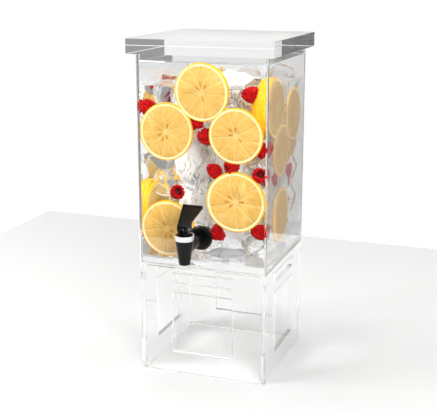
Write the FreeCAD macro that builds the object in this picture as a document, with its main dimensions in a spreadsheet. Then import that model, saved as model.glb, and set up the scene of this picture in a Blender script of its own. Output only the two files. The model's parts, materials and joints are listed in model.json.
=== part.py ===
import FreeCAD, Part

# Acrylic beverage dispenser: a square tank on an open base, with a lift-off lid and a lever tap.
#
# Every sub-part is modelled about the tank's own vertical centre line, with the front towards -Y, and its
# Placement then moves it so that the origin is under the middle of the whole object's bounding box.

import os
import re

import Sketcher
from FreeCAD import Vector

# alias, size in mm, what it is
SIZES = [
    ("tank_width", 180, "outside width of the tank and the base, along X"),
    ("tank_depth", 180, "outside depth of the tank and the base, along Y"),
    ("tank_height", 283, "height of the tank's walls"),
    ("tank_wall", 3, "sheet thickness of the tank's walls"),
    ("floor_thick", 10, "sheet thickness of the tank's floor"),
    ("base_height", 156, "height of the base"),
    ("base_wall", 6, "sheet thickness of the base's walls"),
    ("window_width", 86, "width of the windows and slots in the base"),
    ("window_height", 87, "height of each window"),
    ("bottom_rail", 30, "wall left under each window"),
    ("middle_rail", 14, "wall left between a window and its slot"),
    ("slot_height", 14, "height of each slot"),
    ("seat_gap", 0.2, "gap at a face that rests on another piece"),
    ("locator_thick", 6, "thickness of the plate that centres the tank in the base"),
    ("locator_gap", 1, "side clearance of that plate"),
    ("lid_thick", 20, "thickness of the lid's slab"),
    ("lid_overhang", 10, "how far the lid stands past the tank on each side"),
    ("insert_thick", 10, "thickness of the plate under the lid"),
    ("insert_gap", 1, "side clearance of that plate inside the tank"),
    ("edge_bevel", 0.5, "polished bevel on the slabs' and plates' edges"),
    ("tap_rise", 44, "tap centre line above the tank's underside"),
    ("tap_reach", 60, "front of the tank to the spout's centre line"),
    ("bore_radius", 4.5, "radius of the waterway and the spout's bore"),
    ("shank_wall", 3.5, "wall of the threaded shank"),
    ("shank_gap", 0.25, "clearance round the shank in the tank's wall"),
    ("thread_pitch", 2, "pitch of the shank's thread"),
    ("thread_depth", 0.7, "depth of that thread"),
    ("thread_count", 7, "turns of thread that show inside the tank"),
    ("nut_gap", 0.1, "clearance of the lock nut and the washers on the shank"),
    ("nut_wall", 5, "wall of the lock nut at its flats"),
    ("nut_thick", 8, "thickness of the lock nut"),
    ("shank_spare", 4, "shank past the nut"),
    ("washer_thick", 2, "thickness of the two silicone washers"),
    ("washer_inset", 2.5, "edge of the washers inside the edge of the flange"),
    ("flange_lip", 8.5, "flange's edge outside the shank"),
    ("flange_thick", 5, "thickness of that flange"),
    ("flange_round", 2.5, "bevel of the flange's front edge"),
    ("barrel_wall", 3, "wall of the tap's barrel"),
    ("rim_rise", 20, "cup's rim above the tap centre line"),
    ("nozzle_drop", 19, "spout's mouth below the tap centre line"),
    ("nozzle_wall", 2.8, "wall of the spout at its mouth"),
    ("cup_wall", 1.6, "wall of the cup where the ring begins"),
    ("ring_height", 7, "height of the bright ring round the rim"),
    ("ring_thick", 0.8, "thickness of that ring"),
    ("ring_gap", 0.05, "clearance of that ring round the cup"),
    ("seat_drop", 5, "valve seat below the tap centre line"),
    ("plug_lap", 2.1, "how far the plug laps the seat past the spout's bore"),
    ("plug_play", 0.9, "clearance of the plug in the valve chamber"),
    ("plug_height", 10.5, "height of the silicone plug"),
    ("plug_gap", 0.2, "gap between the plug and its seat"),
    ("skirt_height", 3, "height of the plug's full width"),
    ("neck_height", 2, "height of the plug's neck"),
    ("neck_step", 1.8, "neck's side inside the plug's"),
    ("bonnet_ledge", 1.8, "ledge that the bonnet sits on"),
    ("bonnet_thick", 4.5, "thickness of the bonnet"),
    ("bonnet_sink", 1.5, "bonnet's top below the rim"),
    ("bonnet_gap", 0.1, "clearance of the bonnet in the cup"),
    ("boss_step", 2.2, "side of the bonnet's boss inside the bonnet's own"),
    ("stem_radius", 2, "radius of the valve stem"),
    ("stem_gap", 0.2, "clearance round the stem in the bonnet"),
    ("stem_root", 2, "plug under the end of the stem"),
    ("pin_rise", 27.5, "lever pin above the tap centre line"),
    ("pin_radius", 1.2, "radius of the lever pin"),
    ("pin_gap", 0.08, "clearance of the lever pin in its holes"),
    ("eye_wall", 1.9, "wall round the pin in the stem's eye"),
    ("eye_width", 4.6, "width of the stem's eye, along X"),
    ("foot_drop", 4.5, "lever's foot below its pin"),
    ("foot_gap", 0.3, "clearance under the lever's foot"),
    ("foot_front", 8.4, "front of the lever's block before its pin"),
    ("foot_round", 5.4, "rounding at the front of the foot, the cam that lifts the stem"),
    ("block_back", 10, "back of the lever's block behind its pin"),
    ("block_width", 13, "width of the lever's block and of the paddle's lower end"),
    ("fork_gap", 0.3, "clearance of the lever's fork round the eye"),
    ("paddle_foot", 5.3, "lower edge of the paddle above the pin"),
    ("paddle_length", 43, "length of the paddle"),
    ("paddle_slope", 26, "slope of the paddle above the horizontal, in degrees"),
    ("paddle_width", 27.5, "width of the paddle's upper end"),
    ("paddle_thick", 3.6, "thickness of the paddle"),
    ("paddle_rim", 1.7, "width of the rim round the paddle's face"),
    ("paddle_recess", 1.3, "depth of the face inside that rim"),
    ("paddle_round", 0.4, "rounding of the paddle's free edges"),
    ("spring_wire", 0.9, "diameter of the spring's wire"),
    ("spring_play", 1.15, "clearance of the spring round the stem"),
    ("spring_turns", 4, "turns of the spring"),
    ("spring_gap", 0.3, "gap at each end of the spring"),
    ("edge_clear", 1, "how far a paddle's edge lies past its block before it counts as free"),
    ("cut_spare", 1, "how far a cut runs past the material that it goes through"),
]
# sizes and places that follow from those
PLACES = [
    ("tank_low", "base_height + seat_gap", "underside of the tank"),
    ("tank_high", "tank_low + tank_height", "top of the tank's walls"),
    ("lid_low", "tank_high + seat_gap", "underside of the lid's slab"),
    ("slot_low", "bottom_rail + window_height + middle_rail", "lower edge of the slots"),
    ("tap_z", "tank_low + tap_rise", "height of the tap's centre line"),
    ("spout_y", "-tank_depth / 2 - tap_reach", "spout's centre line"),
    ("flange_y", "-tank_depth / 2 - washer_thick", "back of the tap's flange"),
    ("inside_y", "-tank_depth / 2 + tank_wall", "inside face of the tank's front wall"),
    ("nut_y", "inside_y + washer_thick", "front of the lock nut"),
    ("shank_end", "nut_y + nut_thick + shank_spare", "inner end of the shank"),
    ("shank_radius", "bore_radius + shank_wall", "outside radius of the shank"),
    ("loose_radius", "shank_radius + nut_gap", "inside radius of the nut and the washers"),
    ("nut_flat", "shank_radius + nut_wall", "lock nut's centre to a flat"),
    ("flange_radius", "shank_radius + flange_lip", "radius of the flange"),
    ("washer_radius", "flange_radius - washer_inset", "outside radius of the washers"),
    ("barrel_radius", "bore_radius + barrel_wall", "radius of the tap's barrel"),
    ("nozzle_radius", "bore_radius + nozzle_wall", "outside radius of the spout at its mouth"),
    ("plug_radius", "bore_radius + plug_lap", "radius of the plug"),
    ("chamber_radius", "plug_radius + plug_play", "radius of the valve chamber"),
    ("socket_radius", "chamber_radius + bonnet_ledge", "radius of the bonnet's socket in the cup"),
    ("bonnet_radius", "socket_radius - bonnet_gap", "radius of the bonnet"),
    ("boss_radius", "bonnet_radius - boss_step", "radius of the bonnet's boss, which the lever's foot is over"),
    ("ring_low", "rim_rise - ring_height", "lower edge of the ring, above the tap centre line"),
    ("ring_radius", "socket_radius + cup_wall + ring_gap + ring_thick", "outside radius of the ring's lower edge"),
    ("cup_taper", "(ring_radius - nozzle_radius) / (ring_low + nozzle_drop)", "slope of the cup's side"),
    ("rim_radius", "ring_radius + ring_height * cup_taper", "outside radius of the ring at the rim"),
    ("centre_y", "(tap_reach + rim_radius - lid_overhang) / 2", "tank's centre line behind the origin"),
    ("bonnet_high", "rim_rise - bonnet_sink", "top of the bonnet"),
    ("bonnet_low", "bonnet_high - bonnet_thick", "underside of the bonnet"),
    ("boss_high", "pin_rise - foot_drop - foot_gap", "top of the bonnet's boss"),
    ("plug_low", "plug_gap - seat_drop", "underside of the plug"),
    ("plug_high", "plug_low + plug_height", "top of the plug"),
    ("stem_low", "plug_low + stem_root", "lower end of the stem"),
    ("eye_radius", "pin_radius + pin_gap + eye_wall", "radius of the stem's eye"),
    ("spring_radius", "stem_radius + spring_play + spring_wire / 2", "mean radius of the spring"),
]

doc = FreeCAD.newDocument("beverage_dispenser")
sheet = doc.addObject("Spreadsheet::Sheet", "Sizes")


def fill_sheet():
    for row, (alias, size, note) in enumerate(SIZES + PLACES, start=1):
        sheet.set(f"A{row}", note)
        sheet.set(f"B{row}", str(size) if not isinstance(size, str) else "=" + size)
        sheet.setAlias(f"B{row}", alias)
    doc.recompute()


def bound(text):
    """An expression on the sheet's aliases, as another object's expression needs it."""
    aliases = {alias for alias, _, _ in SIZES + PLACES}
    return re.sub(r"[a-z_]+", lambda word: "Sizes." * (word[0] in aliases) + word[0], text)


def size(text):
    """The number that such an expression has now."""
    return float(sheet.evalExpression(text))


def new_body(label, x="0", y="0", z="0"):
    body = doc.addObject("PartDesign::Body", label)
    body.Label = label
    body.setExpression("Placement.Base.x", bound(x))
    body.setExpression("Placement.Base.y", bound(f"centre_y + {y}"))
    body.setExpression("Placement.Base.z", bound(z))
    return body


def new_sketch(body, plane, name, x="0", y="0", out="0"):
    """A sketch on one of the body's origin planes, its own origin moved across, up and out of the plane."""
    sketch = body.newObject("Sketcher::SketchObject", name)
    sketch.AttachmentSupport = [(next(f for f in body.Origin.OriginFeatures if f.Role == plane), "")]
    sketch.MapMode = "FlatFace"
    for axis, text in zip("xyz", (x, y, out)):
        sketch.setExpression(f"AttachmentOffset.Base.{axis}", bound(text))
    return sketch


def tie(sketch, geometry, point, across, up):
    """Fixes a point of the sketch at two expressions."""
    for kind, text, axis in (("DistanceX", across, -2), ("DistanceY", up, -1)):
        if text == "0":
            sketch.addConstraint(Sketcher.Constraint("PointOnObject", geometry, point, axis))
            continue
        made = sketch.addConstraint(Sketcher.Constraint(kind, -1, 1, geometry, point, size(text)))
        sketch.setExpression(f"Constraints[{made}]", bound(text))


def outline(sketch, corners):
    """A closed outline of straight lines, each corner a pair of expressions."""
    first, count = sketch.GeometryCount, len(corners)
    points = [Vector(size(across), size(up), 0) for across, up in corners]
    for k in range(count):
        sketch.addGeometry(Part.LineSegment(points[k], points[(k + 1) % count]), False)
    for k in range(count):
        after = first + (k + 1) % count
        sketch.addConstraint(Sketcher.Constraint("Coincident", first + k, 2, after, 1))
    for k, (across, up) in enumerate(corners):
        tie(sketch, first + k, 1, across, up)


def rectangle(sketch, left, low, right, high):
    outline(sketch, [(left, low), (right, low), (right, high), (left, high)])


def circle(sketch, across, up, radius):
    centre = Vector(size(across), size(up), 0)
    made = sketch.addGeometry(Part.Circle(centre, Vector(0, 0, 1), size(radius)), False)
    tie(sketch, made, 3, across, up)
    at = sketch.addConstraint(Sketcher.Constraint("Radius", made, size(radius)))
    sketch.setExpression(f"Constraints[{at}]", bound(radius))


def pad(body, sketch, name, length, reverse=False, both=False):
    feature = body.newObject("PartDesign::Pad", name)
    feature.Profile = sketch
    feature.setExpression("Length", bound(length))
    feature.Reversed = reverse
    if both:
        feature.Midplane = True
    return feature


def pocket(body, sketch, name, length, reverse=False, both=False):
    feature = body.newObject("PartDesign::Pocket", name)
    feature.Profile = sketch
    feature.setExpression("Length", bound(length))
    feature.Reversed = reverse
    if both:
        feature.Midplane = True
    return feature


def turn(body, sketch, name, axis, kind="PartDesign::Revolution"):
    feature = body.newObject(kind, name)
    feature.Profile = sketch
    feature.ReferenceAxis = (sketch, [axis])
    feature.Angle = 360
    return feature


def dress(body, kind, name, wanted, amount):
    """A chamfer or a fillet on the edges of the body so far that wanted(edge) picks."""
    doc.recompute()
    base = body.Tip
    edges = [f"Edge{n}" for n, edge in enumerate(base.Shape.Edges, start=1) if wanted(edge)]
    feature = body.newObject(kind, name)
    feature.Base = (base, edges)
    feature.setExpression("Size" if kind.endswith("Chamfer") else "Radius", bound(amount))
    return feature


def at(value, text):
    return abs(value - size(text)) < 1e-4


def level(edge, text):
    """True if the edge lies in the horizontal plane at that height."""
    return all(at(v.Z, text) for v in edge.Vertexes)


def sheet_panel(label, facing, half, low, high, thick, plane_at, cuts=(), hole=None, back=False):
    """A wall cut from sheet. A front wall stands across X, a side wall between the front and the back."""
    front = facing == "front"
    shift = f"tank_depth - {thick}" if front else f"-(tank_width - {thick})"
    body = new_body(label, **({"y": shift} if front else {"x": shift}) if back else {})
    sketch = new_sketch(body, "XZ_Plane" if front else "YZ_Plane", "Outline", out=plane_at)
    rectangle(sketch, f"-({half})", low, half, high)
    for cut_half, cut_low, cut_high in cuts:
        rectangle(sketch, f"-({cut_half})", cut_low, cut_half, cut_high)
    if hole:
        circle(sketch, *hole)
    pad(body, sketch, "Sheet", thick, reverse=True)
    return body


def slab(label, half_x, half_y, low, thick, bevel_high=True, bevel_low=True, bevel_sides=True):
    """A flat plate with polished bevels on the edges asked for."""
    body = new_body(label)
    sketch = new_sketch(body, "XY_Plane", "Outline", out=low)
    rectangle(sketch, f"-({half_x})", f"-({half_y})", half_x, half_y)
    pad(body, sketch, "Plate", thick)
    high = f"{low} + {thick}"

    def wanted(edge):
        if level(edge, high):
            return bevel_high
        return bevel_low if level(edge, low) else bevel_sides

    if bevel_high or bevel_low or bevel_sides:
        dress(body, "PartDesign::Chamfer", "Bevel", wanted, "edge_bevel")
    return body


def make_base():
    window = ("window_width / 2", "bottom_rail", "bottom_rail + window_height")
    slot = ("window_width / 2", "slot_low", "slot_low + slot_height")
    wall = {"low": "0", "high": "base_height", "thick": "base_wall", "cuts": (window, slot)}
    for name, back in (("base_front_panel", False), ("base_back_panel", True)):
        sheet_panel(name, "front", "tank_width / 2", plane_at="tank_depth / 2", back=back, **wall)
    for name, back in (("base_right_panel", False), ("base_left_panel", True)):
        sheet_panel(name, "side", "tank_depth / 2 - base_wall", plane_at="tank_width / 2", back=back, **wall)


def make_tank():
    wall = {"low": "tank_low", "high": "tank_high", "thick": "tank_wall"}
    hole = ("0", "tap_z", "shank_radius + shank_gap")
    sheet_panel("tank_front_panel", "front", "tank_width / 2", plane_at="tank_depth / 2", hole=hole, **wall)
    sheet_panel("tank_back_panel", "front", "tank_width / 2", plane_at="tank_depth / 2", back=True, **wall)
    for name, back in (("tank_right_panel", False), ("tank_left_panel", True)):
        sheet_panel(name, "side", "tank_depth / 2 - tank_wall", plane_at="tank_width / 2", back=back, **wall)
    slab("tank_floor", "tank_width / 2 - tank_wall", "tank_depth / 2 - tank_wall", "tank_low", "floor_thick",
         bevel_high=False, bevel_low=False, bevel_sides=False)
    slab("tank_locating_plate", "tank_width / 2 - base_wall - locator_gap",
         "tank_depth / 2 - base_wall - locator_gap", "tank_low - locator_thick", "locator_thick", bevel_high=False)


def make_lid():
    slab("lid_slab", "tank_width / 2 + lid_overhang", "tank_depth / 2 + lid_overhang", "lid_low", "lid_thick")
    slab("lid_insert", "tank_width / 2 - tank_wall - insert_gap", "tank_depth / 2 - tank_wall - insert_gap",
         "lid_low - insert_thick", "insert_thick", bevel_high=False)


def make_tap_body():
    """Cup, barrel, flange and threaded shank, moulded in one."""
    body = new_body("tap_body")
    cup = new_sketch(body, "XZ_Plane", "CupOutline", y="tap_z", out="-spout_y")
    outline(cup, [("0", "-nozzle_drop"), ("nozzle_radius", "-nozzle_drop"), ("ring_radius", "ring_low"),
                  ("ring_radius - ring_thick - ring_gap", "ring_low"),
                  ("rim_radius - ring_thick - ring_gap", "rim_rise"), ("0", "rim_rise")])
    turn(body, cup, "Cup", "V_Axis")
    pipe = new_sketch(body, "YZ_Plane", "BarrelOutline", y="tap_z")
    front = "flange_y - flange_thick"
    outline(pipe, [("spout_y", "0"), ("spout_y", "barrel_radius"), (front, "barrel_radius"),
                   (front, "flange_radius - flange_round"), (f"{front} + flange_round", "flange_radius"),
                   ("flange_y", "flange_radius"), ("flange_y", "shank_radius"), ("shank_end", "shank_radius"),
                   ("shank_end", "0")])
    turn(body, pipe, "Barrel", "H_Axis")
    thread = new_sketch(body, "YZ_Plane", "ThreadTooth", y="tap_z")
    outline(thread, [("shank_end - thread_pitch / 4", "shank_radius + thread_depth"),
                     ("shank_end - thread_pitch / 2", "shank_radius - thread_depth"),
                     ("shank_end - thread_pitch * 3 / 4", "shank_radius + thread_depth")])
    groove = turn(body, thread, "ThreadGroove", "H_Axis", "PartDesign::Groove")
    doc.recompute()
    turns = body.newObject("PartDesign::LinearPattern", "Thread")
    turns.Originals = [groove]
    turns.Direction = (thread, ["H_Axis"])
    turns.Reversed = True
    turns.setExpression("Length", bound("thread_pitch * (thread_count - 1)"))
    turns.setExpression("Occurrences", bound("thread_count"))
    body.Tip = turns
    doc.recompute()
    chamber = new_sketch(body, "XZ_Plane", "ChamberOutline", y="tap_z", out="-spout_y")
    outline(chamber, [("0", "-nozzle_drop"), ("bore_radius", "-nozzle_drop"), ("bore_radius", "-seat_drop"),
                      ("chamber_radius", "-seat_drop"), ("chamber_radius", "bonnet_low"),
                      ("socket_radius", "bonnet_low"), ("socket_radius", "rim_rise"), ("0", "rim_rise")])
    turn(body, chamber, "Chamber", "V_Axis", "PartDesign::Groove")
    waterway = new_sketch(body, "YZ_Plane", "WaterwayOutline", y="tap_z")
    rectangle(waterway, "spout_y", "0", "shank_end", "bore_radius")
    turn(body, waterway, "Waterway", "H_Axis", "PartDesign::Groove")


def on_shank(label, front, thick, outside):
    """A washer or nut round the shank, from front towards the back; outside draws its outer edge."""
    body = new_body(label)
    sketch = new_sketch(body, "XZ_Plane", "Outline", y="tap_z", out=f"-({front})")
    outside(sketch)
    circle(sketch, "0", "0", "loose_radius")
    pad(body, sketch, "Thickness", thick, reverse=True)


def round_edge(sketch):
    circle(sketch, "0", "0", "washer_radius")


def hexagon(sketch):
    corner = "nut_flat * 2 / sqrt(3)"
    outline(sketch, [(corner, "0"), (f"{corner} / 2", "nut_flat"), (f"-{corner} / 2", "nut_flat"),
                     (f"-{corner}", "0"), (f"-{corner} / 2", "-nut_flat"), (f"{corner} / 2", "-nut_flat")])


def make_tap_fittings():
    on_shank("tap_outer_washer", "flange_y", "washer_thick", round_edge)
    on_shank("tap_inner_washer", "inside_y", "washer_thick", round_edge)
    on_shank("tap_lock_nut", "nut_y", "nut_thick", hexagon)


def turned(label, corners):
    """A piece turned about the spout's centre line, its outline measured from the tap centre line."""
    body = new_body(label)
    sketch = new_sketch(body, "XZ_Plane", "Outline", y="tap_z", out="-spout_y")
    outline(sketch, corners)
    turn(body, sketch, "Turned", "V_Axis")
    return body


def make_bonnet():
    turned("tap_ring", [("ring_radius - ring_thick", "ring_low"), ("ring_radius", "ring_low"),
                        ("rim_radius", "rim_rise"), ("rim_radius - ring_thick", "rim_rise")])
    hole = "stem_radius + stem_gap"
    turned("tap_bonnet", [(hole, "bonnet_low"), ("bonnet_radius", "bonnet_low"), ("bonnet_radius", "bonnet_high"),
                          ("boss_radius", "bonnet_high"), ("boss_radius", "boss_high"), (hole, "boss_high")])


def pin_circle(body, name, radius):
    """A sketch of a circle round the lever pin, seen along X."""
    sketch = new_sketch(body, "YZ_Plane", name, x="spout_y", y="tap_z")
    circle(sketch, "0", "pin_rise", radius)
    return sketch


def make_valve():
    stem = turned("valve_stem", [("0", "stem_low"), ("stem_radius", "stem_low"), ("stem_radius", "pin_rise"),
                                 ("0", "pin_rise")])
    pad(stem, pin_circle(stem, "Eye", "eye_radius"), "Head", "eye_width", both=True)
    pocket(stem, pin_circle(stem, "EyeHole", "pin_radius + pin_gap"), "PinHole", "eye_width + 2 * cut_spare",
           both=True)
    # the plug's full width closes the seat, and its neck carries the spring
    turned("valve_plug", [("stem_radius", "stem_low"), ("0", "stem_low"), ("0", "plug_low"),
                          ("plug_radius", "plug_low"), ("plug_radius", "plug_low + skirt_height"),
                          ("plug_radius - neck_step", "plug_high - neck_height"),
                          ("plug_radius - neck_step", "plug_high"), ("stem_radius", "plug_high")])
    pin = new_body("lever_pin")
    pad(pin, pin_circle(pin, "Round", "pin_radius"), "Pin", "block_width", both=True)


def make_spring():
    """A coil of round wire between the plug and the bonnet."""
    body = new_body("valve_spring")
    wire = new_sketch(body, "XZ_Plane", "Wire", y="tap_z", out="-spout_y")
    circle(wire, "spring_radius", "plug_high + spring_gap + spring_wire / 2", "spring_wire / 2")
    coil = body.newObject("PartDesign::AdditiveHelix", "Coil")
    coil.Profile = wire
    coil.ReferenceAxis = (wire, ["V_Axis"])
    coil.Mode = "height-turns-angle"
    coil.setExpression("Height", bound("bonnet_low - plug_high - 2 * spring_gap - spring_wire"))
    coil.setExpression("Turns", bound("spring_turns"))


def make_lever():
    """Block with a cam foot, forked round the stem's eye, and a recessed paddle that leans back."""
    body = new_body("tap_lever", y="spout_y", z="tap_z + pin_rise")
    side = new_sketch(body, "YZ_Plane", "BlockOutline")
    rise = "tan(paddle_slope * 1deg)"
    top_back = f"paddle_foot + (foot_front + block_back) * {rise} - paddle_thick"
    outline(side, [("-foot_front", "-foot_drop"), ("block_back", "-foot_drop"), ("block_back", top_back),
                   ("-foot_front", "paddle_foot")])
    pad(body, side, "Block", "block_width", both=True)
    cam_foot = dress(body, "PartDesign::Fillet", "CamFoot",
                     lambda edge: all(at(v.Y, "-foot_front") and at(v.Z, "-foot_drop") for v in edge.Vertexes),
                     "foot_round")
    body.Tip = cam_foot
    wide = "paddle_width / 2"
    narrow = "block_width / 2"
    blade = slanted_sketch(body, "Blade")
    outline(blade, [(f"-{narrow}", "0"), (narrow, "0"), (wide, "paddle_length"), (f"-{wide}", "paddle_length")])
    pad(body, blade, "Paddle", "paddle_thick", reverse=True)
    dress(body, "PartDesign::Fillet", "SoftEdges", is_blade_edge, "paddle_round")
    face = slanted_sketch(body, "Face")
    outline(face, [(f"-{narrow} + paddle_rim", "paddle_rim"), (f"{narrow} - paddle_rim", "paddle_rim"),
                   (f"{wide} - paddle_rim", "paddle_length - paddle_rim"),
                   (f"-{wide} + paddle_rim", "paddle_length - paddle_rim")])
    pocket(body, face, "Recess", "paddle_recess")
    fork = new_sketch(body, "XZ_Plane", "Fork", out="-block_back - cut_spare")
    slot_half = "eye_width / 2 + fork_gap"
    rectangle(fork, f"-({slot_half})", "-foot_drop - cut_spare", slot_half, "eye_radius + fork_gap")
    pocket(body, fork, "ForkSlot", "block_back + foot_front + 2 * cut_spare", reverse=True)
    hole = new_sketch(body, "YZ_Plane", "PinHole")
    circle(hole, "0", "0", "pin_radius + pin_gap")
    pocket(body, hole, "PinBore", "block_width + 2 * cut_spare", both=True)


def slanted_sketch(body, name):
    """A sketch on the paddle's face: across is X, up runs up the slope from the paddle's lower edge."""
    sketch = new_sketch(body, "XY_Plane", name, y="-foot_front", out="paddle_foot")
    sketch.AttachmentOffset.Rotation = FreeCAD.Rotation(Vector(1, 0, 0), size("paddle_slope"))
    sketch.setExpression("AttachmentOffset.Rotation.Angle", bound("paddle_slope"))
    return sketch


def is_blade_edge(edge):
    """The long edges and the upper end of the paddle, which stand clear of the block."""
    return all(v.Y > size("block_back + edge_clear") for v in edge.Vertexes)


def check_and_write():
    doc.recompute()
    failed = [o.Name for o in doc.Objects if "Invalid" in o.State or "Error" in o.State]
    if failed:
        raise SystemExit(f"these objects failed: {failed}")
    parts = [o for o in doc.Objects if o.TypeId == "PartDesign::Body"]
    for part in parts:
        if part.Shape.isNull() or not part.Shape.isValid():
            raise SystemExit(f"{part.Label} has no valid shape")
    os.makedirs("parts", exist_ok=True)
    for part in parts:
        part.Shape.exportStep(os.path.join("parts", part.Label + ".step"))
        box = part.Shape.BoundBox
        print(f"{part.Label:22s} {len(part.Shape.Solids)} solid {part.Shape.Volume:10.1f} mm3 "
              f"x {box.XMin:7.2f}..{box.XMax:7.2f} y {box.YMin:7.2f}..{box.YMax:7.2f} "
              f"z {box.ZMin:7.2f}..{box.ZMax:7.2f}")


fill_sheet()
make_base()
make_tank()
make_lid()
make_tap_body()
make_tap_fittings()
make_bonnet()
make_valve()
make_spring()
make_lever()
check_and_write()
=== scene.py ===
import itertools
import json
import math
import random

import bmesh
import bpy
from mathutils import Matrix, Vector


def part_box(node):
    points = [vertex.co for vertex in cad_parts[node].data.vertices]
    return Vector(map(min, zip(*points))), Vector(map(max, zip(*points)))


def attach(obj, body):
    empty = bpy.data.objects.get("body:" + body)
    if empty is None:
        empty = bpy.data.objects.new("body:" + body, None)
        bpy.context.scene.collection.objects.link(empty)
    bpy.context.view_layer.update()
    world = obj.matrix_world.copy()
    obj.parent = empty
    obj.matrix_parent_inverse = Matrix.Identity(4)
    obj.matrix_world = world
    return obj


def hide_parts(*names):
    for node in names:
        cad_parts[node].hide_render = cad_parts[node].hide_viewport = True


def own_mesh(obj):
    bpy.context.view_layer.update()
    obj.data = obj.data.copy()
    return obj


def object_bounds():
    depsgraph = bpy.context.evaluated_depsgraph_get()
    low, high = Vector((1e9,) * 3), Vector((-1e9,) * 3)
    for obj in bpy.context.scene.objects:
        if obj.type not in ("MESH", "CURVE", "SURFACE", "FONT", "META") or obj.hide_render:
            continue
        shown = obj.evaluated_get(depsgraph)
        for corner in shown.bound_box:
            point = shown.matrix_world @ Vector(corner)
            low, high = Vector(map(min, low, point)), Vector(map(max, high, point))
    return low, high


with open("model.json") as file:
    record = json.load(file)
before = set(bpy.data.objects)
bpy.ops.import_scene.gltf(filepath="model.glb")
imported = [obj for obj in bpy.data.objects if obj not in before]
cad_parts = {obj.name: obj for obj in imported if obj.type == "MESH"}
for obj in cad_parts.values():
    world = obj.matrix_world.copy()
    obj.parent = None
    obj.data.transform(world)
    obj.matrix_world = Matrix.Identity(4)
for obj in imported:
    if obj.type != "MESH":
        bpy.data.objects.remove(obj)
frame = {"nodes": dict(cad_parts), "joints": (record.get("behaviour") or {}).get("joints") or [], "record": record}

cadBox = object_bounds()
mm = 0.001
nodes = frame["nodes"]
print("frame loaded:", len(nodes), "nodes")

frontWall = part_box("tank_front_panel")
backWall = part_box("tank_back_panel")
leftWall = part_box("tank_left_panel")
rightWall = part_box("tank_right_panel")
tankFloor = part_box("tank_floor")
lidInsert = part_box("lid_insert")
tankMiddle = Vector((0, (frontWall[0].y + backWall[1].y) / 2, 0))  # foot of the tank's own centre line
insideLow = Vector((leftWall[1].x, frontWall[1].y, tankFloor[1].z))
insideHigh = Vector((rightWall[0].x, backWall[0].y, lidInsert[0].z))

camera = {"stand": (0.4166, -1.1779, 0.5464), "turn": 19.833, "tilt": 14.661, "lens": 75.25}


def makeCamera():
    bpy.ops.object.camera_add(location=Vector(camera["stand"]) + tankMiddle)
    made = bpy.context.object
    made.name = "mainCamera"
    made.rotation_euler = (math.radians(90 - camera["tilt"]), 0, math.radians(camera["turn"]))
    made.data.lens = camera["lens"]
    made.data.sensor_width = 36
    made.data.clip_start = 0.05
    made.data.clip_end = 60
    bpy.context.scene.camera = made


class Flow:  # one output of a node, so that maths can be written on it
    def __init__(self, finish, socket):
        self.finish, self.socket = finish, socket

    def maths(self, operation, *values):
        return self.finish.maths(operation, *values)

    def __add__(self, other):
        return self.maths("ADD", self, other)

    def __sub__(self, other):
        return self.maths("SUBTRACT", self, other)

    def __rsub__(self, other):
        return self.maths("SUBTRACT", other, self)

    def __mul__(self, other):
        return self.maths("MULTIPLY", self, other)

    def __pow__(self, other):
        return self.maths("POWER", self, other)

    __radd__ = __add__
    __rmul__ = __mul__

    def spread(self, low, high, toLow=0.0, toHigh=1.0):  # eased from one range to another, held at its ends
        return self.finish.node("ShaderNodeMapRange", {"interpolation_type": "SMOOTHSTEP"},
                                (self, low, high, toLow, toHigh))


class Finish:  # a material round one Principled shader, or a sky round its Background
    def __init__(self, name, fixed, sky=False):
        self.material = (bpy.data.worlds if sky else bpy.data.materials).new(name)
        self.material.use_nodes = True
        self.tree = self.material.node_tree
        self.shader = self.tree.nodes["Background" if sky else "Principled BSDF"]
        for socket, value in fixed.items():
            self.shader.inputs[socket].default_value = value

    def node(self, kind, settings=None, values=(), output=0):
        made = self.tree.nodes.new(kind)
        for key, value in (settings or {}).items():
            if key != "stops":
                setattr(made, key, value)
                continue
            stops = made.color_ramp.elements
            stops[0].position, stops[0].color = value[0][0], (*value[0][1], 1)
            stops[1].position, stops[1].color = value[-1][0], (*value[-1][1], 1)
            for place, tone in value[1:-1]:
                stops.new(place).color = (*tone, 1)
        for key, value in values.items() if isinstance(values, dict) else enumerate(values):
            if isinstance(value, Flow):
                self.tree.links.new(value.socket, made.inputs[key])
            else:
                made.inputs[key].default_value = value
        return Flow(self, made.outputs[output])

    def maths(self, operation, *values):
        return self.node("ShaderNodeMath", {"operation": operation}, values)

    def feed(self, socket, flow):
        self.tree.links.new(flow.socket, self.shader.inputs[socket])

    def place(self):
        return self.node("ShaderNodeTexCoord", output="Object")

    def own(self, name, output="Vector"):  # a value that the piece's own mesh carries
        return self.node("ShaderNodeAttribute", {"attribute_name": name}, output=output)

    def noise(self, place, scale, detail=3.0, rough=0.55):
        sockets = {"Vector": place, "Scale": scale, "Detail": detail, "Roughness": rough}
        return self.node("ShaderNodeTexNoise", {}, sockets)

    def split(self, vector):
        parts = self.node("ShaderNodeSeparateXYZ", {}, (vector,))
        return [Flow(self, out) for out in parts.socket.node.outputs]

    def join(self, x, y, z):
        return self.node("ShaderNodeCombineXYZ", {}, (x, y, z))

    def mix(self, share, first, second):
        first, second = [tone if isinstance(tone, Flow) else (*tone, 1) for tone in (first, second)]
        return self.node("ShaderNodeMix", {"data_type": "RGBA"}, {0: share, 6: first, 7: second}, output=2)

    def bump(self, height, distance, strength=1.0):
        sockets = {"Height": height, "Distance": distance, "Strength": strength}
        self.feed("Normal", self.node("ShaderNodeBump", {}, sockets))


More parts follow.
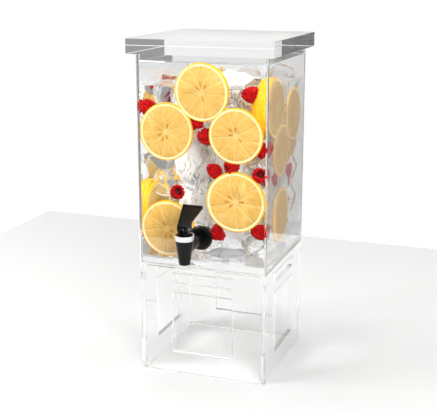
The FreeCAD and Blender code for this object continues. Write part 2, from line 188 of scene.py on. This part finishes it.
studio = {
    "floorSize": 1.3, "floorTone": (0.7, 0.695, 0.69), "sky": 0.95, "skyTop": 0.25, "skyNear": 0.54,
    # the directions of the dark screens that the front and the right wall reflect, how dark they are, and
    # how far off those directions, as a cosine, they begin and are whole
    "frontScreen": (-0.34, -0.94), "frontDark": 0.88, "frontEdge": (0.8, 0.95),
    "rightScreen": (0.5, 0.866), "rightDark": 0.64, "rightEdge": (0.82, 0.94),
    # the clear pieces that cast a shadow
    "shading": ("base_right_panel", "base_left_panel", "base_back_panel"),
    "keyPlace": (1.05, -1.4, 0.95), "keyPower": 20.0, "keySize": 0.7,
    "fillPlace": (-1.3, -0.8, 1.5), "fillPower": 22.0, "fillSize": 0.9,
}


def addLamp(name, place, target, size, power):
    bpy.ops.object.light_add(type="AREA", location=place)
    lamp = bpy.context.object
    lamp.name = name
    lamp.rotation_euler = (Vector(target) - Vector(place)).to_track_quat("-Z", "Y").to_euler()
    lamp.data.size = size
    lamp.data.energy = power


def floorPaper():
    made = Finish("paleFloor", {})
    fibre = made.noise(made.place(), 30, 5)
    paler = tuple(v * 1.02 for v in studio["floorTone"])
    made.feed("Base Color", made.mix(fibre, studio["floorTone"], paler))
    made.feed("Roughness", fibre.spread(0.3, 0.7, 0.75, 0.9))
    return made.material


def makeStudio():
    bpy.ops.mesh.primitive_plane_add(size=studio["floorSize"], location=(0, 0, cadBox[0].z - 0.05 * mm))
    floor = bpy.context.object
    floor.name = "paleFloor"
    floor.data.materials.append(floorPaper())
    sky = Finish("softStudio", {"Color": (1, 1, 1, 1)}, sky=True)
    bpy.context.scene.world = sky.material
    x, y, z = sky.split(sky.node("ShaderNodeTexCoord"))
    front = (x * studio["frontScreen"][0] + y * studio["frontScreen"][1]).spread(*studio["frontEdge"])
    right = (x * studio["rightScreen"][0] + y * studio["rightScreen"][1]).spread(*studio["rightEdge"])
    near = (y * -1).spread(0.0, 0.5)  # the room is dimmer on the side that the tap faces
    dark = front * studio["frontDark"] + right * studio["rightDark"]
    level = (1 - dark) * (1 - near * studio["skyNear"]) * studio["sky"]
    level = level + z.spread(0.45, 0.85) * studio["skyTop"]
    seen = sky.node("ShaderNodeLightPath")  # the camera itself sees plain white
    sky.feed("Strength", level * (1 - seen) + seen)
    middle = (cadBox[0] + cadBox[1]) / 2
    addLamp("keyLamp", studio["keyPlace"], middle, studio["keySize"], studio["keyPower"])
    addLamp("fillLamp", studio["fillPlace"], middle, studio["fillSize"], studio["fillPower"])
    scene = bpy.context.scene
    scene.view_settings.view_transform = "Standard"
    scene.cycles.max_bounces = 48
    scene.cycles.transmission_bounces = 40
    scene.cycles.glossy_bounces = 40
    scene.cycles.transparent_max_bounces = 32
    print("studio lit")


acrylic = {"tone": (0.992, 0.996, 0.994), "smudgeTone": (0.98, 0.985, 0.983), "ior": 1.49, "roughest": 0.02}


def clearAcrylic():
    made = Finish("clearAcrylic", {"Transmission Weight": 1.0, "IOR": acrylic["ior"]})
    smudge = made.noise(made.place(), 14, 4)
    made.feed("Base Color", made.mix(smudge.spread(0.4, 0.7), acrylic["tone"], acrylic["smudgeTone"]))
    made.feed("Roughness", smudge.spread(0.5, 0.8, 0.0, acrylic["roughest"]))
    made.bump(made.noise(made.place(), 9, 1), 0.015 * mm)
    return made.material


blackPlastic = {"tone": (0.003, 0.003, 0.0032), "worn": (0.007, 0.007, 0.0075), "smooth": 0.07, "dull": 0.2}


def glossBlack():
    made = Finish("glossBlackPlastic", {"IOR": 1.28, "Coat Roughness": 0.06})
    grain = made.noise(made.place(), 260, 5, 0.6)
    wear = made.noise(made.place(), 55, 4)
    made.feed("Base Color", made.mix(wear.spread(0.5, 0.75), blackPlastic["tone"], blackPlastic["worn"]))
    made.feed("Roughness", wear.spread(0.35, 0.75, blackPlastic["smooth"], blackPlastic["dull"]))
    made.feed("Coat Weight", wear.spread(0.4, 0.7, 0.06, 0.02))
    made.bump(grain, 0.03 * mm)
    return made.material


chromePlate = {"tone": (0.86, 0.86, 0.85), "shade": (0.78, 0.78, 0.78), "smooth": 0.05, "dull": 0.14}


def brightChrome():
    made = Finish("brightChrome", {"Metallic": 1.0})
    haze = made.noise(made.place(), 120, 4)
    made.feed("Base Color", made.mix(haze.spread(0.4, 0.7), chromePlate["tone"], chromePlate["shade"]))
    made.feed("Roughness", haze.spread(0.4, 0.75, chromePlate["smooth"], chromePlate["dull"]))
    return made.material


silicone = {"tone": (0.80, 0.80, 0.77), "shade": (0.70, 0.70, 0.67)}


def milkySilicone():
    made = Finish("milkySilicone", {"IOR": 1.41, "Subsurface Weight": 0.25, "Subsurface Scale": 2 * mm})
    cloud = made.noise(made.place(), 90, 4)
    made.feed("Base Color", made.mix(cloud.spread(0.35, 0.7), silicone["tone"], silicone["shade"]))
    made.feed("Roughness", cloud.spread(0.3, 0.7, 0.38, 0.55))
    made.bump(made.noise(made.place(), 400, 3), 0.03 * mm)
    return made.material


steel = {"tone": (0.60, 0.60, 0.58), "shade": (0.46, 0.46, 0.45)}


def turnedSteel():
    made = Finish("turnedSteel", {"Metallic": 1.0})
    across, along, up = made.split(made.place())
    lathe = made.noise(made.join(across * 20, along * 20, up * 2500), 1, 2)  # fine rings left by turning
    made.feed("Base Color", made.mix(lathe.spread(0.35, 0.65), steel["tone"], steel["shade"]))
    made.feed("Roughness", lathe.spread(0.3, 0.7, 0.2, 0.36))
    made.bump(lathe, 0.01 * mm)
    return made.material


def openPiece(piece):  # this piece alone, in edit mode, with nothing selected in it
    bpy.ops.object.select_all(action="DESELECT")
    piece.select_set(True)
    bpy.context.view_layer.objects.active = piece
    bpy.ops.object.mode_set(mode="EDIT")
    bpy.ops.mesh.select_all(action="DESELECT")


def pick(piece, wanted, kind="faces"):  # selects only the faces, edges or verts that the test accepts
    bpy.ops.mesh.select_all(action="DESELECT")
    shape = bmesh.from_edit_mesh(piece.data)
    for part in getattr(shape, kind):
        if wanted(part):
            part.select_set(True)
    shape.select_flush_mode()
    bmesh.update_edit_mesh(piece.data)


def closePiece():
    bpy.ops.object.mode_set(mode="OBJECT")


def applyAll(piece):
    bpy.ops.object.select_all(action="DESELECT")
    piece.select_set(True)
    bpy.context.view_layer.objects.active = piece
    for modifier in list(piece.modifiers):
        bpy.ops.object.modifier_apply(modifier=modifier.name)


def settle(piece, place):  # the place goes into the mesh, and the object stays at the origin
    piece.matrix_world = place
    bpy.ops.object.select_all(action="DESELECT")
    piece.select_set(True)
    bpy.context.view_layer.objects.active = piece
    bpy.ops.object.transform_apply(location=True, rotation=True, scale=True)


def copyOf(master, name):
    made = master.copy()
    made.data = master.data.copy()
    made.name = made.data.name = name
    bpy.context.collection.objects.link(made)
    return made


def joinAll(pieces, name):
    bpy.ops.object.select_all(action="DESELECT")
    for piece in pieces:
        piece.select_set(True)
    bpy.context.view_layer.objects.active = pieces[0]
    bpy.ops.object.join()
    pieces[0].name = pieces[0].data.name = name
    return pieces[0]


def stamp(piece, name, value):  # a value on every point of the piece, or its own coordinates
    points = piece.data.vertices
    if value == "place":
        row = piece.data.attributes.get(name) or piece.data.attributes.new(name, "FLOAT_VECTOR", "POINT")
        row.data.foreach_set("vector", [v / lemon["radius"] for p in points for v in p.co])
    else:
        row = piece.data.attributes.get(name) or piece.data.attributes.new(name, "FLOAT", "POINT")
        row.data.foreach_set("value", [value] * len(points))


def dropPiece(piece):
    bpy.data.objects.remove(piece, do_unlink=True)


def finishPiece(piece, material):
    piece.data.materials.clear()
    piece.data.materials.append(material)
    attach(piece, "tank")


def facing(where, outward, spin=0.0, lean=(0.0, 0.0), size=1.0):  # local Z turned to face outward
    turned = Vector(outward).to_track_quat("Z", "Y").to_matrix().to_4x4()
    tip = Matrix.Rotation(math.radians(lean[0]), 4, "X") @ Matrix.Rotation(math.radians(lean[1]), 4, "Y")
    return (Matrix.Translation(Vector(where) * mm + tankMiddle) @ turned @ tip
            @ Matrix.Rotation(math.radians(spin), 4, "Z") @ Matrix.Scale(size, 4))


def dressFrame():
    finishes = {
        "clear_acrylic": clearAcrylic(), "black_plastic": glossBlack(), "chrome_plate": brightChrome(),
        "silicone": milkySilicone(), "stainless_steel": turnedSteel(),
    }
    for part in frame["record"]["subparts"]:
        node = nodes[part["node"]]
        node.data.materials.clear()
        node.data.materials.append(finishes[part["material_slot"]])
        if part["material_slot"] == "clear_acrylic":  # the drink is lit through the tank's walls
            node.visible_shadow = part["node"] in studio["shading"]
            polish(node)
    makeSpring(finishes["stainless_steel"])
    print("frame dressed")


def makeSpring(material):  # the coil between the plug and the bonnet, a copy of the CAD spring with its doubled points merged
    low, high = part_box("valve_spring")
    travel = next(joint["range_m"][1] for joint in frame["joints"] if joint["name"] == "valve_lift")
    coil = bpy.data.objects.new("closingSpring", nodes["valve_spring"].data.copy())
    bpy.context.collection.objects.link(coil)
    openPiece(coil)
    bpy.ops.mesh.select_all(action="SELECT")
    bpy.ops.mesh.remove_doubles(threshold=0.001 * mm)
    closePiece()
    bpy.ops.object.shade_smooth_by_angle(angle=math.radians(35))
    finishPiece(coil, material)
    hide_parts("valve_spring")
    1 - travel / (high.z - low.z)
    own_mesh(coil)


def polish(node):  # a fine bevel on every edge, and a hair's breadth between glued faces
    weld = node.modifiers.new("weld", "WELD")
    weld.merge_threshold = 0.001 * mm
    bevel = node.modifiers.new("polishedEdge", "BEVEL")
    bevel.width = 0.35 * mm
    bevel.segments = 2
    bevel.limit_method = "ANGLE"
    bevel.angle_limit = math.radians(50)
    shrink = node.modifiers.new("glueLine", "DISPLACE")
    shrink.mid_level = 0
    shrink.strength = -0.02 * mm


drink = {  # level and film, the gap between the drink and the walls, are in mm
    "level": 398.5, "film": 0.12, "ior": 1.33, "tone": (0.996, 0.996, 0.99), "pinkTone": (0.99, 0.97, 0.955),
    "creep": 2.2 * mm, "creepRise": 0.9 * mm, "ripple": 0.35 * mm, "rippleCuts": 40, "rippleSeed": 3,
}


def drinkFinish():
    made = Finish("coolDrink", {"Transmission Weight": 1.0, "IOR": drink["ior"], "Roughness": 0.0})
    swirl = made.noise(made.place(), 12, 3)
    made.feed("Base Color", made.mix(swirl.spread(0.45, 0.75), drink["tone"], drink["pinkTone"]))
    made.feed("Roughness", swirl.spread(0.6, 0.9, 0.0, 0.01))
    return made.material


def makeDrink(material):
    film = drink["film"] * mm
    low = insideLow + Vector((film, film, film))
    high = Vector((insideHigh.x - film, insideHigh.y - film, drink["level"] * mm))
    bpy.ops.mesh.primitive_cube_add(size=1, location=(low + high) / 2, scale=high - low)
    body = bpy.context.object
    body.name = "drinkBody"
    settle(body, body.matrix_world.copy())
    openPiece(body)
    pick(body, lambda face: face.normal.z > 0.9)
    bpy.ops.mesh.inset(thickness=drink["creep"], depth=-drink["creepRise"])  # it creeps up the walls
    pick(body, lambda face: face.normal.z > 0.99)
    bpy.ops.mesh.subdivide(number_cuts=drink["rippleCuts"])
    bpy.ops.transform.vertex_random(offset=drink["ripple"], uniform=0.0, normal=1.0,
                                    seed=drink["rippleSeed"])
    bpy.ops.mesh.vertices_smooth(factor=0.5, repeat=3)
    closePiece()
    bpy.ops.object.shade_smooth_by_angle(angle=math.radians(25))
    body.visible_shadow = False
    finishPiece(body, material)


lemon = {  # core, fleshOut, rindIn and pithIn are shares of the radius, and fromWall is in mm
    "radius": 36.0 * mm, "thick": 6.0 * mm, "segments": 9, "gap": 0.6 * mm, "core": 0.11, "fleshOut": 0.905,
    "rindIn": 0.955, "pithIn": 0.912, "bulge": 0.1 * mm, "rimRound": 0.9 * mm, "wedgeRound": 0.4 * mm,
    "fromWall": 3.7, "sunk": 0.2 * mm, "sunkEdge": 0.5 * mm,
    # the half lemon's back, as pairs: a share of the slice's width, then a share of the dome's height
    "domeHeight": 18.0 * mm,
    "dome": ((1.01, 0.1), (0.99, 0.25), (0.93, 0.42), (0.83, 0.59), (0.67, 0.76), (0.46, 0.89), (0.26, 0.95),
             (0.17, 1.03), (0.06, 1.07)),
    "seedRadius": 1.0 * mm, "seedTip": 0.9 * mm, "seedStretch": (2.3, 1.4, 0.7), "seedChance": 0.42,
    "seedOut": (0.2, 0.34), "seedSunk": 0.2 * mm,
    "pulp": (0.67, 0.395, 0.085), "pulpDeep": (0.64, 0.345, 0.055), "pulpPale": (0.73, 0.485, 0.16),
    "rind": (0.93, 0.53, 0.02), "rindDeep": (0.90, 0.42, 0.008), "pith": (0.88, 0.75, 0.47),
    "web": (0.77, 0.54, 0.21), "seed": (0.58, 0.25, 0.025),
}


def lemonFinish():
    made = Finish("lemonFlesh", {"IOR": 1.25, "Subsurface Weight": 0.12, "Subsurface Scale": 2.5 * mm})
    spot = made.own("slicePoint")
    x, y, z = made.split(spot)
    whim = made.own("whim", "Fac")
    kind = made.own("kind", "Fac")  # 0 rind and pith, 1 flesh, 2 seed
    out = (x * x + y * y) ** 0.5
    turn = made.maths("ARCTAN2", y, x)
    around = made.join(turn * 9.0, out * 3.2, z + whim * 17.0)  # long and thin, as juice sacs lie
    sacs = made.node("ShaderNodeTexVoronoi", {"feature": "F1"}, {"Vector": around, "Scale": 1.6})
    streak = made.noise(made.join(turn * 22.0, out * 2.0, whim * 9.0), 1.0, 3)
    patch = made.noise(made.join(x, y, z + whim * 5.0), 2.2, 3)
    flesh = made.mix(sacs.spread(0.1, 0.75), lemon["pulp"], lemon["pulpPale"])
    flesh = made.mix(streak.spread(0.5, 0.8), flesh, lemon["pulpDeep"])
    flesh = made.mix(patch.spread(0.45, 0.75) * 0.55, flesh, lemon["pulpDeep"])
    flesh = made.mix((1 - out).spread(0.72, 0.92) * 0.6, flesh, lemon["pulpPale"])
    wobble = made.noise(made.join(x, y, whim * 3.0), 6.0, 2)
    edge = out + (wobble - 0.5) * 0.02
    skin = made.mix(made.noise(spot, 26.0, 3).spread(0.35, 0.7), lemon["rind"], lemon["rindDeep"])
    plate = made.mix(edge.spread(0.86, 0.91), lemon["web"], lemon["pith"])
    plate = made.mix(edge.spread(lemon["rindIn"] - 0.008, lemon["rindIn"] + 0.008), plate, skin)
    plate = made.mix((z * -1).spread(0.09, 0.11), plate, skin)  # behind a slice's own back there is only rind
    tone = made.mix(kind.spread(0.4, 0.6), plate, flesh)
    tone = made.mix(kind.spread(1.4, 1.6), tone, lemon["seed"])
    made.feed("Base Color", tone)
    made.feed("Roughness", sacs.spread(0.0, 0.8, 0.22, 0.4))
    pores = made.noise(spot, 60.0, 2)
    made.bump(sacs * kind.spread(0.4, 0.6) + pores * 0.4, 0.5 * mm, 0.8)
    return made.material


def lemonPlate():  # the disc of rind and pith, with its middle sunk under the flesh
    radius, thick = lemon["radius"], lemon["thick"]
    bpy.ops.mesh.primitive_cylinder_add(vertices=72, radius=radius, depth=thick)
    plate = bpy.context.object
    openPiece(plate)
    pick(plate, lambda edge: abs(edge.verts[0].co.z - edge.verts[1].co.z) < thick / 2, "edges")
    bpy.ops.mesh.bevel(offset=lemon["rimRound"], segments=3)
    pick(plate, lambda face: abs(face.normal.z) > 0.99)
    bpy.ops.mesh.inset(thickness=radius * (1 - lemon["pithIn"]) - lemon["rimRound"], use_individual=True)
    bpy.ops.mesh.inset(thickness=lemon["sunkEdge"], depth=-lemon["sunk"], use_individual=True)
    closePiece()
    stamp(plate, "kind", 0.0)
    return plate


def lemonWedge():
    radius, half = lemon["radius"], math.pi / lemon["segments"]
    bpy.ops.mesh.primitive_cylinder_add(vertices=54, radius=radius * lemon["fleshOut"],
                                        depth=lemon["thick"] + 2 * lemon["bulge"])
    wedge = bpy.context.object
    openPiece(wedge)
    tip, core = (lemon["gap"] / 2 / math.sin(half), 0, 0), (radius * lemon["core"], 0, 0)
    left, right = (-math.sin(half), math.cos(half), 0), (-math.sin(half), -math.cos(half), 0)
    for start, normal in ((tip, left), (tip, right), (core, (-1, 0, 0))):
        bpy.ops.mesh.select_all(action="SELECT")
        bpy.ops.mesh.bisect(plane_co=start, plane_no=normal, use_fill=True, clear_outer=True)
    pick(wedge, lambda edge: edge.is_manifold and edge.calc_face_angle(0) > math.radians(30), "edges")
    bpy.ops.mesh.bevel(offset=lemon["wedgeRound"], segments=2, clamp_overlap=True)
    closePiece()
    stamp(wedge, "kind", 1.0)
    return wedge


def lemonSeed():
    bpy.ops.mesh.primitive_uv_sphere_add(segments=12, ring_count=8, radius=lemon["seedRadius"])
    seed = bpy.context.object
    openPiece(seed)
    pick(seed, lambda vert: vert.co.x < -0.6 * lemon["seedRadius"], "verts")
    bpy.ops.transform.translate(value=(-lemon["seedTip"], 0, 0))  # drawn out to a point at one end
    closePiece()
    settle(seed, Matrix.Diagonal((*lemon["seedStretch"], 1)))
    stamp(seed, "kind", 2.0)
    return seed


def makeLemonSlice(wedge, seed, draw):
    parts = [lemonPlate()]
    for k in range(lemon["segments"]):
        turn = 2 * math.pi * k / lemon["segments"]
        part = copyOf(wedge, "wedge")
        uneven = Matrix.Diagonal((draw.uniform(0.97, 1), draw.uniform(0.94, 1), 1, 1))
        settle(part, Matrix.Rotation(turn, 4, "Z") @ uneven)
        parts.append(part)
        for side in (1, -1):
            if draw.random() < lemon["seedChance"]:
                out = draw.uniform(*lemon["seedOut"]) * lemon["radius"]
                part = copyOf(seed, "seed")
                level = side * (lemon["thick"] / 2 + lemon["bulge"] - lemon["seedSunk"])
                aside = Matrix.Rotation(turn + draw.uniform(-0.2, 0.2), 4, "Z")
                settle(part, aside @ Matrix.Translation((out, 0, level)))
                parts.append(part)
    whole = joinAll(parts, "lemonMaster")
    stamp(whole, "slicePoint", "place")
    bpy.ops.object.shade_smooth_by_angle(angle=math.radians(35))
    return whole


def addDome(piece):  # the rest of the fruit behind a slice's back
    openPiece(piece)
    back = -lemon["thick"] / 2
    pick(piece, lambda face: face.normal.z < -0.9 and face.calc_center_median().z > back - lemon["bulge"] / 2)
    last = (1.0, back)
    for width, depth in lemon["dome"]:
        bpy.ops.mesh.extrude_region_move(
            TRANSFORM_OT_translate={"value": (0, 0, -depth * lemon["domeHeight"] - last[1] + back)})
        bpy.ops.transform.resize(value=(width / last[0], width / last[0], 1), center_override=(0, 0, 0))
        last = (width, -depth * lemon["domeHeight"] + back)
    closePiece()
    stamp(piece, "slicePoint", "place")


rightX = backY = insideHigh.x / mm - lemon["fromWall"]  # where a slice's middle is when it leans on a wall
leftX = frontY = -rightX
# where each slice is, in mm from the tank's centre line, the way it faces, its spin, its lean and its size
halfPlace = ((rightX - 1, -46, 371.0), (1, 0, 0), 30, (0, 0), 1.12)
slicePlaces = [
    ((-0.4, frontY, 392.4), (0, -1, 0), 12, (1, 0), 1.03),
    ((-50.0, frontY, 338.5), (0, -1, 0), 160, (0, 1), 1.06),
    ((46.0, frontY + 1, 338.0), (0, -1, 0), 47, (1, 1), 1.03),
    ((46.6, frontY, 251.0), (0, -1, 0), 95, (0, -1), 1.11),
    ((-49.6, frontY, 206.8), (0, -1, 0), 210, (0, 0), 1.08),
    ((-75, -52, 230), (0.975, -0.22, 0), 30, (0, 0), 0.96),
    ((leftX, -49, 232), (1, 0, 0), 30, (0, 0), 0.98),
    ((rightX, 38, 351.5), (1, 0, 0), 10, (0, 0), 1.03),
    ((rightX, -21, 311), (1, 0, 0), 75, (1, 0), 1.0),
    ((rightX, -18, 221.0), (1, 0, 0), 130, (0, 1), 1.04),
    ((leftX, 36, 218), (-1, 0, 0), 0, (1, 0), 1.0),
    ((-26, backY, 350), (0, 1, 0), 15, (0, 0), 1.0),
    ((2, backY, 291), (0, 1, 0), 70, (1, 0), 0.98),
    ((-34, backY, 226), (0, 1, 0), 130, (0, 1), 1.02),
]


def layLemons(draw):
    wedge, seed, material = lemonWedge(), lemonSeed(), lemonFinish()
    master = makeLemonSlice(wedge, seed, draw)
    for k, place in enumerate([halfPlace] + slicePlaces):
        piece = copyOf(master, f"lemonSlice{k:02d}" if k else "halfLemon")
        if k == 0:
            addDome(piece)
        settle(piece, Matrix.Diagonal((draw.uniform(0.975, 1.01), draw.uniform(0.985, 1.025), 1, 1)))
        settle(piece, facing(*place))
        stamp(piece, "whim", draw.random())
        finishPiece(piece, material)
    for spare in (wedge, seed, master):
        dropPiece(spare)
    print("lemon slices laid:", len(slicePlaces), "and half a lemon")


raspberry = {  # rows is how many drupelets each ring has, from the tip to the open end
    "radius": 9.3 * mm, "height": 21.0 * mm, "drupelet": 2.5 * mm, "rows": (5, 9, 12, 13, 13, 12, 11),
    "seed": 5, "pointed": (0.85, 0.85, 1.12), "uneven": (0.88, 1.08), "hullShare": 0.82,
    # the hull's near-black red is painted shade: it shows only in the gaps between drupelets and over the open end
    "bright": (0.62, 0.002, 0.006), "dark": (0.22, 0.0006, 0.001), "hullPaintedShade": (0.09, 0.0005, 0.001),
}


def berryFinish():
    made = Finish("raspberryFlesh", {"IOR": 1.16, "Coat Roughness": 0.12, "Coat IOR": 1.1})
    whim = made.own("whim", "Fac")
    kind = made.own("kind", "Fac")  # 0 drupelet, 1 the hull inside, whose near-black red is painted shade
    mottle = made.noise(made.place(), 420, 3)
    shade = whim.spread(0.0, 1.0) * 0.7 + mottle.spread(0.4, 0.7) * 0.3
    tone = made.mix(shade, raspberry["bright"], raspberry["dark"])
    made.feed("Base Color", made.mix(kind, tone, raspberry["hullPaintedShade"]))
    made.feed("Roughness", mottle.spread(0.3, 0.7, 0.2, 0.38))
    made.feed("Coat Weight", mottle.spread(0.3, 0.7, 0.5, 0.2))
    made.bump(mottle, 0.12 * mm)
    return made.material


def makeRaspberry():
    bpy.ops.mesh.primitive_uv_sphere_add(segments=8, ring_count=6, radius=raspberry["drupelet"])
    drop = bpy.context.object
    openPiece(drop)
    pick(drop, lambda vert: vert.co.z > raspberry["drupelet"] * 0.4, "verts")
    bpy.ops.transform.resize(value=raspberry["pointed"], center_override=(0, 0, 0))
    closePiece()
    draw = random.Random(raspberry["seed"])
    rows, parts = raspberry["rows"], []
    for k, count in enumerate(rows):
        climb = (k + 0.5) / len(rows)  # 0 at the tip, 1 at the open end
        swell = math.radians(22 + 68 * min(1, climb * 1.25))
        width = raspberry["radius"] * math.sin(swell) ** 1.2 - 1.2 * mm
        width *= 1 - 0.12 * max(0, climb - 0.8) / 0.2  # it draws in again at its open end
        level = raspberry["height"] * (0.5 - climb) * 0.86
        for j in range(count):
            turn = 2 * math.pi * (j + 0.5 * (k % 2) + draw.uniform(-0.09, 0.09)) / count
            outward = Vector((math.cos(turn), math.sin(turn), 0.9 * max(0, 0.75 - climb)))
            aim = outward.to_track_quat("Z", "Y").to_matrix().to_4x4()
            spot = (width * math.cos(turn), width * math.sin(turn), level + draw.uniform(-0.3, 0.3) * mm)
            part = copyOf(drop, "drop")
            uneven = Matrix.Scale(draw.uniform(*raspberry["uneven"]), 4)
            settle(part, Matrix.Translation(spot) @ aim @ uneven)
            stamp(part, "kind", 0.0)
            stamp(part, "whim", draw.random())
            parts.append(part)
    # the hull fills the berry, and its dark colour paints the shade in the gaps between drupelets and over the
    # open end
    hullRadius = raspberry["radius"] * raspberry["hullShare"]
    bpy.ops.mesh.primitive_uv_sphere_add(segments=16, ring_count=10, radius=hullRadius)
    hullPaintedShade = bpy.context.object
    openPiece(hullPaintedShade)
    pick(hullPaintedShade, lambda vert: vert.co.z < 0, "verts")
    bpy.ops.transform.translate(value=(0, 0, -1.0 * mm))
    closePiece()
    stamp(hullPaintedShade, "kind", 1.0)
    stamp(hullPaintedShade, "whim", 0.5)
    dropPiece(drop)
    whole = joinAll(parts + [hullPaintedShade], "berryMaster")
    bpy.ops.object.shade_smooth()
    return whole


# where each berry is, in mm from the tank's centre line
berryPlaces = [
    (61.5, -76, 391.5), (-12.5, -74, 353), (4.2, -76, 332), (13, -76, 290.5), (40, -76, 295.5),
    (-39.5, -76, 255.5), (20, -76, 204), (76, -77, 212), (76, -76, 286), (-79, -77, 367),
    (77, -69, 322), (77, -41, 275), (77, 30, 274.5), (72, -8, 369), (-60, 77, 292),
    (48, 77, 335), (20, 77, 245), (-74, 77, 180), (-62, 77, 390),
]


def dropBerries(draw):
    berry, material = makeRaspberry(), berryFinish()
    for k, where in enumerate(berryPlaces, 1):
        piece = copyOf(berry, f"raspberry{k:02d}")
        outward = Vector([draw.uniform(-1, 1) for axis in range(3)])
        settle(piece, facing(where, outward, draw.uniform(0, 360), size=draw.uniform(0.94, 1.08)))
        finishPiece(piece, material)
    dropPiece(berry)
    print("raspberries dropped in:", len(berryPlaces))


packedIce = {  # middle and size are in mm, and lumps are pairs of a scale and a depth
    "middle": (-1, 9, 284), "size": (106, 96, 232), "round": 14 * mm,
    "lumps": ((36 * mm, 19 * mm), (11 * mm, 4.5 * mm)),
    "white": (0.97, 0.975, 0.975), "crack": (0.36, 0.37, 0.38),
}


def packedFinish():  # white, with thin grey cracks that run mostly upwards
    made = Finish("packedIce", {"IOR": 1.12, "Subsurface Weight": 0.3, "Subsurface Scale": 8 * mm})
    x, y, z = made.split(made.place())
    warp = made.noise(made.place(), 35, 4, 0.6) * 0.05
    crack = made.noise(made.join(x + warp, y + warp, z * 0.45 + warp), 48, 5, 0.62)
    line = made.maths("ABSOLUTE", crack - 0.5).spread(0.0, 0.035)
    cloud = made.noise(made.place(), 22, 4)
    tone = made.mix(line, packedIce["crack"], packedIce["white"])
    made.feed("Base Color", made.mix(cloud.spread(0.35, 0.6), packedIce["white"], tone))
    made.feed("Roughness", cloud.spread(0.3, 0.7, 0.12, 0.4))
    made.bump(line + crack, 1.2 * mm, 0.8)
    return made.material


def makePackedIce(material):  # the mass of ice that has frozen together inside the loose blocks
    bpy.ops.mesh.primitive_cube_add(size=1, location=tankMiddle + Vector(packedIce["middle"]) * mm,
                                    scale=Vector(packedIce["size"]) * mm)
    pack = bpy.context.object
    pack.name = "packedIce"
    settle(pack, pack.matrix_world.copy())
    openPiece(pack)
    bpy.ops.mesh.select_all(action="SELECT")
    bpy.ops.mesh.bevel(offset=packedIce["round"], segments=3)
    bpy.ops.mesh.select_all(action="SELECT")
    bpy.ops.mesh.subdivide(number_cuts=9)
    closePiece()
    for scale, depth in packedIce["lumps"]:
        lumps = bpy.data.textures.new("lumps", "VORONOI")
        lumps.noise_scale = scale
        push = pack.modifiers.new("lumps", "DISPLACE")
        push.texture = lumps
        push.strength = -depth
        push.mid_level = 0.4
    pack.modifiers.new("melted", "SMOOTH").iterations = 2
    applyAll(pack)
    bpy.ops.object.shade_smooth()
    pack.visible_shadow = False
    finishPiece(pack, material)


ice = {
    "edge": 31.0 * mm, "corner": 6.2 * mm, "dent": 1.7 * mm, "shapes": 4, "seed": 11,
    "ior": 1.09, "tone": (0.998, 1.0, 1.0), "frost": (0.975, 0.98, 0.98),
    # the loose blocks: levels, rows and columns, then in mm the first one's middle, their spacing and scatter
    "count": (6, 4, 4), "first": (-60, -52, 186), "spacing": (40, 36, 41), "scatter": 5, "missing": 0.15,
    "tapRoom": (34, -25, 235),  # half its width, its rear and its top, in mm
}


def clearIceFinish():
    made = Finish("clearIce", {"Transmission Weight": 1.0, "IOR": ice["ior"]})
    cloud = made.noise(made.place(), 70, 5, 0.6)
    crack = made.node("ShaderNodeTexVoronoi", {"feature": "DISTANCE_TO_EDGE"},
                      {"Vector": made.place(), "Scale": 95.0})
    made.feed("Base Color", made.mix(cloud.spread(0.45, 0.7), ice["tone"], ice["frost"]))
    made.feed("Roughness", cloud.spread(0.5, 0.75, 0.0, 0.09))
    made.bump(crack.spread(0.0, 0.12) * 0.5 + cloud, 0.9 * mm, 0.7)
    return made.material


def makeIceBlock(number, draw):
    bpy.ops.mesh.primitive_cube_add(size=ice["edge"])
    block = bpy.context.object
    openPiece(block)
    bpy.ops.mesh.select_all(action="SELECT")
    bpy.ops.mesh.bevel(offset=ice["corner"], segments=2)
    bpy.ops.mesh.subdivide(number_cuts=1, smoothness=0.4)
    bpy.ops.transform.vertex_random(offset=ice["dent"], uniform=0.6, normal=0.5, seed=number)
    bpy.ops.mesh.vertices_smooth(factor=0.5, repeat=1)
    closePiece()
    stretch = Matrix.Diagonal((draw.uniform(0.85, 1.12), draw.uniform(0.8, 1.1), draw.uniform(0.8, 1.1), 1))
    settle(block, stretch)
    block.modifiers.new("melted", "SUBSURF").levels = 1
    applyAll(block)
    bpy.ops.object.shade_smooth()
    return block


def packBlocks(draw):  # loose blocks all round the packed ice, with room left for the tap's nut
    blocks, material = [makeIceBlock(k, draw) for k in range(ice["shapes"])], clearIceFinish()
    levels, rows, columns = ice["count"]
    scatter = ice["scatter"]
    halfRoom, rearRoom, topRoom = ice["tapRoom"]
    count = 0
    for level, row, column in itertools.product(range(levels), range(rows), range(columns)):
        steps = zip(ice["first"], ice["spacing"], (column, row, level))
        centre = [low + gap * step + draw.uniform(-scatter, scatter) for low, gap, step in steps]
        spin, tip = draw.uniform(0, 360), Vector([draw.uniform(-1, 1) for axis in range(3)])
        packed = 0 < row < rows - 1 and 0 < column < columns - 1 and level < levels - 1
        nearTap = abs(centre[0]) < halfRoom and centre[1] < rearRoom and centre[2] < topRoom
        if packed or draw.random() < ice["missing"] or nearTap:
            continue
        count += 1
        piece = copyOf(blocks[count % len(blocks)], f"iceBlock{count:02d}")
        settle(piece, facing(centre, tip, spin, size=draw.uniform(0.85, 1.08)))
        piece.visible_shadow = False
        finishPiece(piece, material)
    for spare in blocks:
        dropPiece(spare)
    print("ice blocks packed:", count)


def fillTank():
    draw = random.Random(ice["seed"])
    makePackedIce(packedFinish())
    makeDrink(drinkFinish())
    print("ice body packed and drink poured over it")
    layLemons(draw)
    dropBerries(draw)
    packBlocks(draw)


makeCamera()
makeStudio()
dressFrame()
fillTank()
